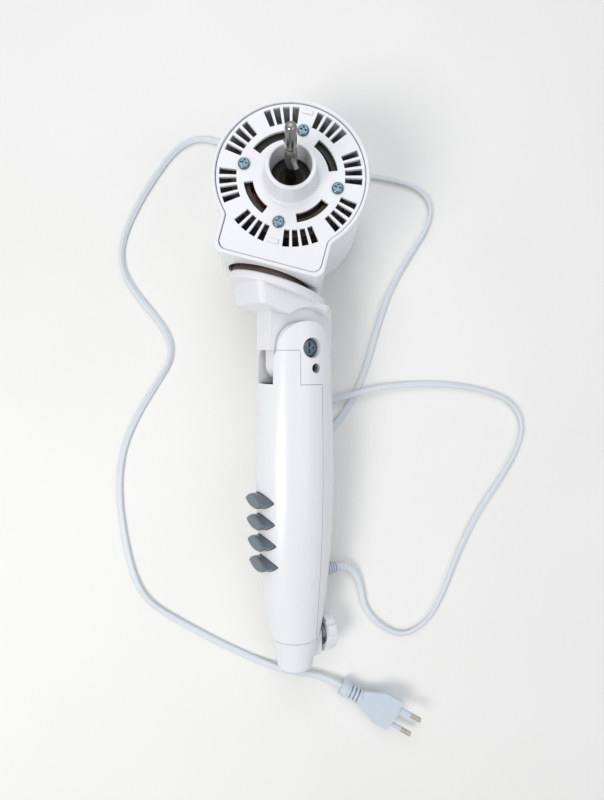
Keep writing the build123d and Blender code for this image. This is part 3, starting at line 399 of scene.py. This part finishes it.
@dataclass(frozen=True)
class VarnishedSheet(Finish):
    """Sheet steel dipped in brown varnish: a low gloss skin, darker where the varnish pooled."""

    pooled: str = "#33271F"
    patch_mm: float = 9.0
    roughness: float = 0.38
    pool_gloss: float = 0.1
    metallic: float = 0.35
    varnish: float = 0.3

    def dress(self, tree: bpy.types.NodeTree, shader: bpy.types.Node, place: bpy.types.NodeSocket) -> None:
        """Add the pooled varnish to the colour and to the gloss."""
        shader.inputs["Metallic"].default_value = self.metallic
        shader.inputs["Coat Weight"].default_value = self.varnish
        pool = add_node(
            tree, "ShaderNodeTexNoise", {"Vector": place, "Scale": per_metre(self.patch_mm), "Detail": 5.0}
        )
        tint = add_node(
            tree,
            "ShaderNodeMix",
            {"Factor": pool.outputs["Fac"], "A": linear(self.colour), "B": linear(self.pooled)},
            data_type="RGBA",
        )
        tree.links.new(tint.outputs["Result"], shader.inputs["Base Color"])
        gloss = add_node(
            tree,
            "ShaderNodeMapRange",
            {
                "Value": pool.outputs["Fac"],
                "To Min": self.roughness + self.pool_gloss,
                "To Max": self.roughness - self.pool_gloss,
            },
        )
        tree.links.new(gloss.outputs["Result"], shader.inputs["Roughness"])


@dataclass(frozen=True)
class SpeckledFibre(Finish):
    """Pressed friction fibre: matt, with darker and lighter strands."""

    speck: str = "#2E2019"
    speck_mm: float = 0.7
    roughness: float = 0.8

    def dress(self, tree: bpy.types.NodeTree, shader: bpy.types.Node, place: bpy.types.NodeSocket) -> None:
        """Add the strands to the colour."""
        shader.inputs["Roughness"].default_value = self.roughness
        specks = add_node(
            tree, "ShaderNodeTexNoise", {"Vector": place, "Scale": per_metre(self.speck_mm), "Detail": 4.0}
        )
        tint = add_node(
            tree,
            "ShaderNodeMix",
            {"Factor": specks.outputs["Fac"], "A": linear(self.colour), "B": linear(self.speck)},
            data_type="RGBA",
        )
        tree.links.new(tint.outputs["Result"], shader.inputs["Base Color"])


@dataclass(frozen=True)
class Tabletop(Finish):
    """Off-white laminate: nearly matt, with a very faint cloudy tone."""

    cloud: str = "#EFEFEC"
    cloud_mm: float = 160.0
    roughness: float = 0.55

    def dress(self, tree: bpy.types.NodeTree, shader: bpy.types.Node, place: bpy.types.NodeSocket) -> None:
        """Add the cloudy tone."""
        shader.inputs["Roughness"].default_value = self.roughness
        cloud = add_node(
            tree, "ShaderNodeTexNoise", {"Vector": place, "Scale": per_metre(self.cloud_mm), "Detail": 2.0}
        )
        tint = add_node(
            tree,
            "ShaderNodeMix",
            {"Factor": cloud.outputs["Fac"], "A": linear(self.colour), "B": linear(self.cloud)},
            data_type="RGBA",
        )
        tree.links.new(tint.outputs["Result"], shader.inputs["Base Color"])


class Finishes:
    """Every finish of the unit, made once and looked up by the record's slots."""

    def __init__(self, shaft_axis: Vector) -> None:
        """Make all the materials.

        Args:
            shaft_axis: Direction of the motor shaft, which turning marks and sheets lie across.
        """
        axis = tuple(shaft_axis)
        finishes = {
            # Each plastic's corner colour is painted shade in its corners and recesses, which also stands
            # for dust
            Slot.WHITE_ABS: MouldedPlastic(
                "glossy_white_abs", "#EDEEF2", corner_shade_and_dust="#8C8A87", corner_mm=9.0, shade_and_dust_share=0.5
            ),
            Slot.GREY_KEY: MouldedPlastic("slate_grey_abs", "#606D76", corner_shade_and_dust="#343B41", roughness=0.18),
            Slot.ZINC_SCREW: PlatedMetal("blue_zinc_plate", "#7F8F96", bloom="#2F4D5C", roughness=0.14),
            Slot.GROUND_STEEL: LayeredMetal(
                "turned_steel", "#8F8F8D", axis=axis, line="#6E6C69", roughness=0.12, line_depth_mm=0.004
            ),
            Slot.LAMINATE: LayeredMetal(
                "varnished_laminations",
                "#7A6455",
                axis=axis,
                line="#4A3B31",
                line_mm=1.0,
                roughness=0.4,
                line_depth_mm=0.08,
                metallic=0.6,
                varnish=0.6,
            ),
            Slot.VARNISHED_STEEL: VarnishedSheet("brown_varnished_sheet", "#6B584B"),
            Slot.COPPER: EnamelledWire("enamelled_copper", "#B0603A"),
            # Oiled sintered bronze, darkened further as painted shade for the dark bore of the collar that
            # holds it
            Slot.BRONZE: GrainyMetal("oiled_bronze_with_painted_bore_shade", "#3C342B", pore="#1B1713"),
            Slot.ZINC_CASTING: GrainyMetal("blackened_light_alloy", "#4B4845", pore="#1F1D1C", metallic=0.5),
            Slot.BLACK_PLASTIC: MouldedPlastic(
                "black_moulded_nylon", "#1C1C1E", corner_shade_and_dust="#4A4846", roughness=0.42
            ),
            Slot.NATURAL_NYLON: MouldedPlastic("natural_nylon", "#DDD8C8", roughness=0.4),
            Slot.FIBRE: SpeckledFibre("friction_fibre", "#6B4A35"),
            Slot.PALE_PVC: MouldedPlastic(
                "pale_blue_pvc", "#CBD7E3", corner_shade_and_dust="#6F7B86", roughness=0.42, corner_mm=2.0, shade_and_dust_share=0.5
            ),
            Slot.NICKEL: PlatedMetal("nickel_plate", "#C9C5BA", bloom="#A79F8F", roughness=0.15),
        }
        self.materials = {slot: finish.make() for slot, finish in finishes.items()}
        self.sheath = MouldedPlastic(
            "pale_pvc_sheath", "#DDE3EA", corner_shade_and_dust="#6F7B86", roughness=0.4, corner_mm=2.0, shade_and_dust_share=0.5
        ).make()

    def give(self, piece: bpy.types.Object, slot: Slot) -> None:
        """Put a slot's material on a piece.

        Args:
            piece: A mesh or curve object.
            slot: The slot that it takes its finish from.
        """
        piece.data.materials.clear()
        piece.data.materials.append(self.materials[slot])

    def give_nodes(self, frame: dict) -> None:
        """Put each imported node's finish on it, as its record says.
        """
        for part in frame["record"]["subparts"]:
            slot = Slot(part["material_slot"])
            self.give(frame["nodes"][part["node"]], slot)
            LOG.info("%s takes %s", part["node"], self.materials[slot].name)


def show(name: str, data: bpy.types.ID) -> bpy.types.Object:
    """Link new object data into the scene.

    Args:
        name: The object's name.
        data: Its mesh, curve or lamp.

    Returns:
        The new object, at the origin.
    """
    piece = bpy.data.objects.new(name, data)
    bpy.context.scene.collection.objects.link(piece)
    return piece


def pivot_and_axis(frame: dict, name: str) -> tuple[Vector, Vector]:
    """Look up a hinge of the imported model.

    Args:
        name: The hinge's name in the record.

    Returns:
        A point on the hinge's axis, and the axis as a unit vector.
    """
    hinge = next(joint for joint in frame["joints"] if joint["name"] == name)
    return Vector(hinge["pos_m"]), Vector(hinge["axis"]).normalized()


# Route of the lead's middle line: x, y and z in metres, and how far the flat lead is turned
# on edge there, in degrees
LEAD_ROUTE = (
    (0.0504, -0.1412, 0.0052, 0),
    (0.0564, -0.1550, 0.0029, 0),
    (0.0584, -0.1708, 0.0018, 10),
    (0.0685, -0.1851, 0.0021, 30),
    (0.0900, -0.1971, 0.0024, 50),
    (0.1116, -0.1841, 0.0025, 60),
    (0.1239, -0.1614, 0.0025, 60),
    (0.1357, -0.1299, 0.0021, 30),
    (0.1510, -0.0966, 0.0018, 10),
    (0.1716, -0.0669, 0.0021, 30),
    (0.1855, -0.0424, 0.0025, 60),
    (0.1896, -0.0219, 0.0026, 80),
    (0.1814, -0.0047, 0.0026, 80),
    (0.1625, 0.0052, 0.0025, 60),
    (0.1305, 0.0109, 0.0023, 40),
    (0.0982, 0.0109, 0.0030, 20),
    (0.0669, 0.0074, 0.0066, 10),
    (0.0396, -0.0006, 0.0066, 0),
    (0.0082, -0.0080, 0.0016, 0),
    (-0.0165, -0.0227, 0.0016, 0),
    (-0.0240, -0.0470, 0.0016, 0),
    (-0.0155, -0.0635, 0.0016, 0),
    (0.0020, -0.0670, 0.0016, 0),
    (0.0160, -0.0545, 0.0016, 0),
    (0.0284, -0.0306, 0.0016, 0),
    (0.0468, -0.0080, 0.0016, 0),
    (0.0599, 0.0208, 0.0016, 0),
    (0.0690, 0.0544, 0.0018, 10),
    (0.0804, 0.0889, 0.0021, 30),
    (0.0977, 0.1176, 0.0024, 50),
    (0.1116, 0.1389, 0.0026, 70),
    (0.1149, 0.1576, 0.0026, 80),
    (0.1036, 0.1720, 0.0026, 80),
    (0.0798, 0.1793, 0.0024, 50),
    (0.0484, 0.1841, 0.0020, 20),
    (0.0123, 0.1947, 0.0016, 0),
    (-0.0254, 0.2021, 0.0016, 0),
    (-0.0552, 0.2083, 0.0016, 0),
    (-0.0771, 0.2139, 0.0020, -20),
    (-0.0960, 0.2038, 0.0023, -40),
    (-0.1124, 0.1816, 0.0023, -40),
    (-0.1280, 0.1562, 0.0023, -40),
    (-0.1395, 0.1291, 0.0025, -60),
    (-0.1403, 0.1061, 0.0025, -60),
    (-0.1280, 0.0848, 0.0023, -40),
    (-0.1116, 0.0659, 0.0021, -30),
    (-0.0993, 0.0470, 0.0023, -40),
    (-0.0993, 0.0298, 0.0025, -60),
    (-0.1132, 0.0085, 0.0023, -40),
    (-0.1288, -0.0170, 0.0020, -20),
    (-0.1403, -0.0457, 0.0018, -10),
    (-0.1428, -0.0794, 0.0016, 0),
    (-0.1378, -0.1171, 0.0016, 0),
    (-0.1296, -0.1499, 0.0018, 10),
    (-0.1173, -0.1696, 0.0021, 30),
    (-0.0894, -0.1860, 0.0018, 10),
    (-0.0582, -0.2025, 0.0016, 0),
    (-0.0264, -0.2169, 0.0016, 0),
    (0.0005, -0.2246, 0.0060, 0),
)


@dataclass
class MainsLead:
    """Flat twin mains lead between the column's gland and the moulded plug."""

    core_radius: float = 1.5 * MM
    core_spread: float = 1.0 * MM
    web_half: float = 1.25 * MM
    length: float = 1.63
    gland_mouth: Point = (0.0358, -0.1360, 0.0131)
    beyond_gland: Point = (0.0416, -0.1357, 0.0097)
    before_plug: Point = (0.0241, -0.2270, 0.0043)
    plug_mouth: Point = (0.0401, -0.2350, 0.0065)
    steps_per_core: int = 9
    steps_per_span: int = 8

    def outline(self) -> list[Vector]:
        """Draw the lead's section: two round cores side by side with a shallow groove between.

        Returns:
            Points round the section, anticlockwise.
        """
        notch = math.asin(self.web_half / self.core_radius)
        points = []
        for side in (0, 1):
            for step in range(self.steps_per_core):
                share = step / (self.steps_per_core - 1)
                angle = side * math.pi - (math.pi - notch) * (1 - 2 * share)
                centre = Vector((self.core_spread * (1 - 2 * side), 0, 0))
                points.append(centre + self.core_radius * Vector((math.cos(angle), math.sin(angle), 0)))
        return points

    def section(self) -> bpy.types.Object:
        """Make the hidden curve that the lead's bevel follows.

        Returns:
            A closed flat curve object that isn't rendered.
        """
        curve = bpy.data.curves.new("lead_section", "CURVE")
        curve.dimensions = "2D"
        spline = curve.splines.new("POLY")
        points = self.outline()
        spline.points.add(len(points) - 1)
        for point, spot in zip(spline.points, points):
            point.co = (*spot, 1.0)
        spline.use_cyclic_u = True
        piece = show("lead_section", curve)
        piece.hide_render = True
        piece.hide_viewport = True
        return piece

    def build(self) -> bpy.types.Object:
        """Lay the lead along its route.

        Returns:
            The lead as one curve object.
        """
        curve = bpy.data.curves.new("mains_lead", "CURVE")
        curve.dimensions = "3D"
        curve.twist_mode = "Z_UP"
        curve.resolution_u = self.steps_per_span
        curve.bevel_mode = "OBJECT"
        curve.bevel_object = self.section()
        curve.use_fill_caps = True
        start = [(*self.gland_mouth, 0), (*self.beyond_gland, 0)]
        end = [(*self.before_plug, 0), (*self.plug_mouth, 0)]
        stops = [*start, *LEAD_ROUTE, *end]
        spline = curve.splines.new("NURBS")
        spline.points.add(len(stops) - 1)
        for point, (x, y, z, turn) in zip(spline.points, stops):
            point.co = (x, y, z, 1.0)
            point.tilt = math.radians(turn)
        spline.order_u = CLOSE_ORDER
        spline.use_endpoint_u = True
        spline.use_smooth = True
        return show("mains_lead", curve)

    def dress(self, frame: dict, finishes: Finishes) -> None:
        """Args:
            finishes: The unit's materials.
        """
        lead = self.build()
        lead.data.materials.append(finishes.sheath)
        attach(lead, "column")
        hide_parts("cord")
        LOG.info("mains lead laid")


@dataclass
class CoilEnds:
    """Wound coil ends on one face of the stator, in the space that its winding ring holds.

    The wire is drawn thicker than it is, so that single turns show.
    """

    name: str
    node: str
    wire_radius: float = 0.55 * MM
    wire_facets: int = 1
    coils: int = 8
    wires_per_coil: int = 14
    span: float = math.radians(66)
    shortest_span: float = 0.82
    lowest_wire: float = 0.35
    shoulder_power: int = 6
    stops_per_wire: int = 9
    steps_per_span: int = 3
    seed: int = 7

    def ring(self, frame: dict) -> tuple[Matrix, float, float, float]:
        """Measure the winding ring that the coils fill.


        Returns:
            A frame at the ring's stator face with z out of the stator, the inner and outer
            radius, and the ring's rise.
        """
        pivot, axis = pivot_and_axis(frame, "shaft_spin")
        core = [vertex.co - pivot for vertex in frame["nodes"]["stator_core"].data.vertices]
        core_middle = sum(spot.dot(axis) for spot in core) / len(core)
        spots = [vertex.co - pivot for vertex in frame["nodes"][self.node].data.vertices]
        heights = [spot.dot(axis) for spot in spots]
        radii = [(spot - axis * spot.dot(axis)).length for spot in spots]
        outward = axis if sum(heights) / len(heights) > core_middle else -axis
        face = min(heights) if outward == axis else max(heights)
        turn = outward.to_track_quat("Z", "Y").to_matrix().to_4x4()
        place = Matrix.Translation(pivot + axis * face) @ turn
        return place, min(radii), max(radii), max(heights) - min(heights)

    def build(self, frame: dict) -> bpy.types.Object:
        """Wind the coils.


        Returns:
            The coil ends as one curve object.
        """
        place, inner, outer, rise = self.ring(frame)
        chance = random.Random(self.seed)
        curve = bpy.data.curves.new(self.name, "CURVE")
        curve.dimensions = "3D"
        curve.bevel_depth = self.wire_radius
        curve.bevel_resolution = self.wire_facets
        curve.resolution_u = self.steps_per_span
        low, high = inner + 2 * self.wire_radius, outer - 2 * self.wire_radius
        for coil in range(self.coils):
            middle = 2 * math.pi * coil / self.coils
            for _ in range(self.wires_per_coil):
                radius = chance.uniform(low, high)
                room = rise - 2 * self.wire_radius
                top = chance.uniform(self.lowest_wire, 1.0) * room + self.wire_radius
                half = self.span / 2 * chance.uniform(self.shortest_span, 1.0)
                spline = curve.splines.new("NURBS")
                spline.points.add(self.stops_per_wire - 1)
                for index, point in enumerate(spline.points):
                    share = 2 * index / (self.stops_per_wire - 1) - 1
                    height = top * (1 - share**self.shoulder_power)
                    angle = middle + half * share
                    spot = Vector((radius * math.cos(angle), radius * math.sin(angle), height))
                    point.co = (*(place @ spot), 1.0)
                spline.order_u = CLOSE_ORDER
                spline.use_endpoint_u = True
        return show(self.name, curve)

    def dress(self, frame: dict, finishes: Finishes) -> None:
        """Wind the coils, finish them and let them stand for the winding ring.

        Args:
            finishes: The unit's materials.
        """
        coils = self.build(frame)
        finishes.give(coils, Slot.COPPER)
        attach(coils, "head")
        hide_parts(self.node)
        LOG.info("%s wound", self.name)


@dataclass
class SeamShadowRing:
    """Thin dark ring between the column's shells and the pole socket: a painted shadow of the seam there,
    which shows as a fine line.
    """

    half_depth: float = 19.1 * MM
    half_width: float = 18.5 * MM
    wall: float = 1.0 * MM
    thickness: float = 0.4 * MM
    below_hinge: float = 221.0 * MM
    segments: int = 96

    def place(self, frame: dict) -> Matrix:
        """Find the column's own frame from its hinge and its clamp.


        Returns:
            A frame at the tilt hinge with x to the keys and z along the column.
        """
        hinge, across = pivot_and_axis(frame, "neck_tilt")
        front = -pivot_and_axis(frame, "clamp_turn")[1]
        turn = Matrix((front, across, front.cross(across))).transposed().to_4x4()
        return Matrix.Translation(hinge) @ turn

    def build(self, frame: dict) -> bpy.types.Object:
        """Make the painted seam shadow as a closed ring.

        Returns:
            The gasket as a mesh object.
        """
        shape = bmesh.new()
        bmesh.ops.create_circle(shape, cap_ends=False, segments=self.segments, radius=1.0)
        stretch = Vector((self.half_depth, self.half_width, 1.0))
        bmesh.ops.scale(shape, vec=stretch, verts=shape.verts)
        outer = list(shape.edges)
        extruded = bmesh.ops.extrude_edge_only(shape, edges=outer)["geom"]
        inner = [part for part in extruded if isinstance(part, bmesh.types.BMVert)]
        shrink = Vector((1 - self.wall / self.half_depth, 1 - self.wall / self.half_width, 1.0))
        bmesh.ops.scale(shape, vec=shrink, verts=inner)
        raised = bmesh.ops.extrude_face_region(shape, geom=list(shape.faces), use_keep_orig=True)["geom"]
        top = [part for part in raised if isinstance(part, bmesh.types.BMVert)]
        bmesh.ops.translate(shape, vec=(0, 0, self.thickness), verts=top)
        bmesh.ops.recalc_face_normals(shape, faces=shape.faces)
        drop = Matrix.Translation((0, 0, -self.below_hinge - self.thickness))
        bmesh.ops.transform(shape, matrix=self.place(frame) @ drop, verts=shape.verts)
        mesh = bpy.data.meshes.new("painted_seam_shadow")
        shape.to_mesh(mesh)
        shape.free()
        return show("painted_seam_shadow", mesh)

    def dress(self, frame: dict, finishes: Finishes) -> None:
        """Build the painted seam shadow ring, finish it dark and let it ride on the column.

        Args:
            finishes: The unit's materials.
        """
        seam_ring = self.build(frame)
        # Painted shadow: the dark ring stands in for the shade in the seam between the shells and the socket
        finishes.give(seam_ring, Slot.BLACK_PLASTIC)
        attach(seam_ring, "column")
        LOG.info("end gasket laid")


@dataclass(frozen=True)
class Softbox:
    """A square soft lamp that points at the unit."""

    name: str
    at: Point
    side: float
    power_w: float
    tint: str

    def hang(self) -> None:
        """Hang the lamp and turn its face to the unit."""
        data = bpy.data.lights.new(self.name, "AREA")
        data.size = self.side
        data.energy = self.power_w
        data.color = linear(self.tint)[:3]
        lamp = show(self.name, data)
        lamp.location = self.at
        lamp.rotation_euler = (-Vector(self.at)).to_track_quat("-Z", "Y").to_euler()


@dataclass
class Studio:
    """The table, the lamps and the camera."""

    table_side: float = 6.0
    table_tone: str = "#F6F6F4"
    camera_at: Point = (0.0082, -0.0022, 0.495)
    lens_mm: float = 27.0
    sensor_mm: float = 36.0
    nearest: float = 10 * MM
    room_light: float = 0.48
    room_tint: str = "#F4F5F7"
    softboxes: tuple[Softbox, ...] = (
        Softbox("key_softbox", at=(-0.7, -0.45, 1.2), side=0.6, power_w=8.2, tint="#FFFDF8"),
        Softbox("fill_softbox", at=(-0.1, 0.9, 1.1), side=0.9, power_w=4.5, tint="#F6F9FF"),
        Softbox("side_softbox", at=(0.8, -0.2, 1.2), side=0.9, power_w=2.8, tint="#F6F9FF"),
    )

    def camera(self) -> None:
        """Set the camera straight above the unit, looking down."""
        data = bpy.data.cameras.new("overhead_camera")
        data.lens = self.lens_mm
        data.sensor_width = self.sensor_mm
        data.clip_start = self.nearest
        camera = show("overhead_camera", data)
        camera.location = self.camera_at
        bpy.context.scene.camera = camera

    def table(self) -> None:
        """Lay the tabletop."""
        mesh = bpy.data.meshes.new("tabletop")
        shape = bmesh.new()
        bmesh.ops.create_grid(shape, x_segments=1, y_segments=1, size=self.table_side / 2)
        shape.to_mesh(mesh)
        shape.free()
        mesh.materials.append(Tabletop("off_white_laminate", self.table_tone).make())
        show("tabletop", mesh)

    def light(self) -> None:
        """Hang the lamps and set the room's even light, with a white backdrop where it is seen."""
        for softbox in self.softboxes:
            softbox.hang()
        world = bpy.data.worlds.new("room")
        world.use_nodes = True
        tree = world.node_tree
        even = tree.nodes["Background"]
        even.inputs["Color"].default_value = linear(self.room_tint)
        even.inputs["Strength"].default_value = self.room_light
        backdrop = add_node(tree, "ShaderNodeBackground", {"Color": linear(self.room_tint), "Strength": 1.0})
        rays = add_node(tree, "ShaderNodeLightPath").outputs
        seen = add_node(
            tree, "ShaderNodeMath", {0: rays["Is Camera Ray"], 1: rays["Is Glossy Ray"]}, operation="ADD"
        )
        seen = add_node(
            tree,
            "ShaderNodeMath",
            {0: seen.outputs["Value"], 1: rays["Is Transmission Ray"]},
            operation="ADD",
            use_clamp=True,
        )
        both = add_node(
            tree,
            "ShaderNodeMixShader",
            {0: seen.outputs["Value"], 1: even.outputs["Background"], 2: backdrop.outputs["Background"]},
        )
        tree.links.new(both.outputs["Shader"], tree.nodes["World Output"].inputs["Surface"])
        bpy.context.scene.world = world


def main() -> None:
    """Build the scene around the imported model."""
    logging.basicConfig(level=logging.INFO, format="%(message)s")
    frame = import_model()
    bpy.context.scene.view_settings.view_transform = "Standard"
    finishes = Finishes(pivot_and_axis(frame, "shaft_spin")[1])
    studio = Studio()
    studio.camera()
    MainsLead().dress(frame, finishes)
    finishes.give_nodes(frame)
    CoilEnds("front_coil_ends", "front_winding").dress(frame, finishes)
    CoilEnds("rear_coil_ends", "rear_winding", seed=11).dress(frame, finishes)
    SeamShadowRing().dress(frame, finishes)
    studio.table()
    studio.light()


if __name__ == "__main__":
    main()
